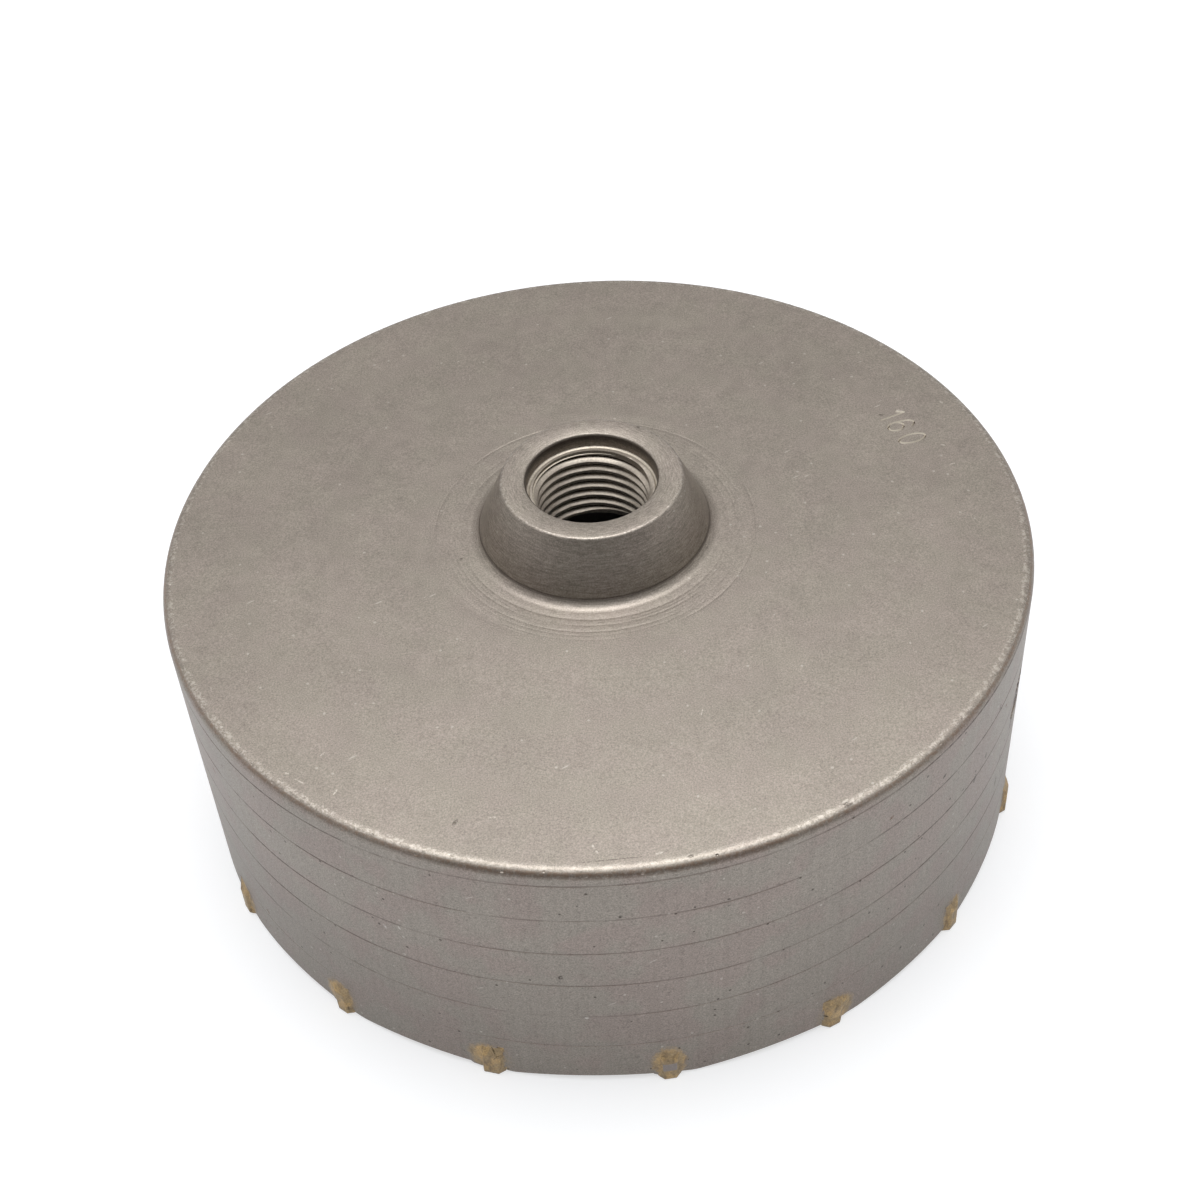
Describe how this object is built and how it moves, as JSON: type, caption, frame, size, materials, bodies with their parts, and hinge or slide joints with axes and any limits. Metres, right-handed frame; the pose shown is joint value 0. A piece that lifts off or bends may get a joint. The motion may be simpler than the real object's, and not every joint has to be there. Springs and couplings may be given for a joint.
{
  "type": "concrete core bit",
  "caption": "Steel cup with a threaded conical boss on its back and carbide cutting tips brazed round its rim, for coring masonry and concrete.",
  "frame": {"origin": "on the axis, in the plane of the tips' cutting ends, which is the plane that the bit stands on", "axes": "+Z along the axis towards the boss; -Y towards the picture's viewer"},
  "size_m": [0.1596, 0.1596, 0.0708],
  "materials": {
    "body_steel": "blasted, warm grey, with turning marks",
    "carbide": "sintered carbide, dark grey, matte",
    "braze": "brazing brass, dull and streaky"
  },
  "bodies": {
    "root": {"core_body": "body_steel", "carbide_tip_01": "carbide", "carbide_tip_02": "carbide", "carbide_tip_03": "carbide", "carbide_tip_04": "carbide", "carbide_tip_05": "carbide", "carbide_tip_06": "carbide", "carbide_tip_07": "carbide", "carbide_tip_08": "carbide", "carbide_tip_09": "carbide", "carbide_tip_10": "carbide", "carbide_tip_11": "carbide", "carbide_tip_12": "carbide", "carbide_tip_13": "carbide", "carbide_tip_14": "carbide", "carbide_tip_15": "carbide", "carbide_tip_16": "carbide", "braze_01": "braze", "braze_02": "braze", "braze_03": "braze", "braze_04": "braze", "braze_05": "braze", "braze_06": "braze", "braze_07": "braze", "braze_08": "braze", "braze_09": "braze", "braze_10": "braze", "braze_11": "braze", "braze_12": "braze", "braze_13": "braze", "braze_14": "braze", "braze_15": "braze", "braze_16": "braze"}
  },
  "joints": []
}
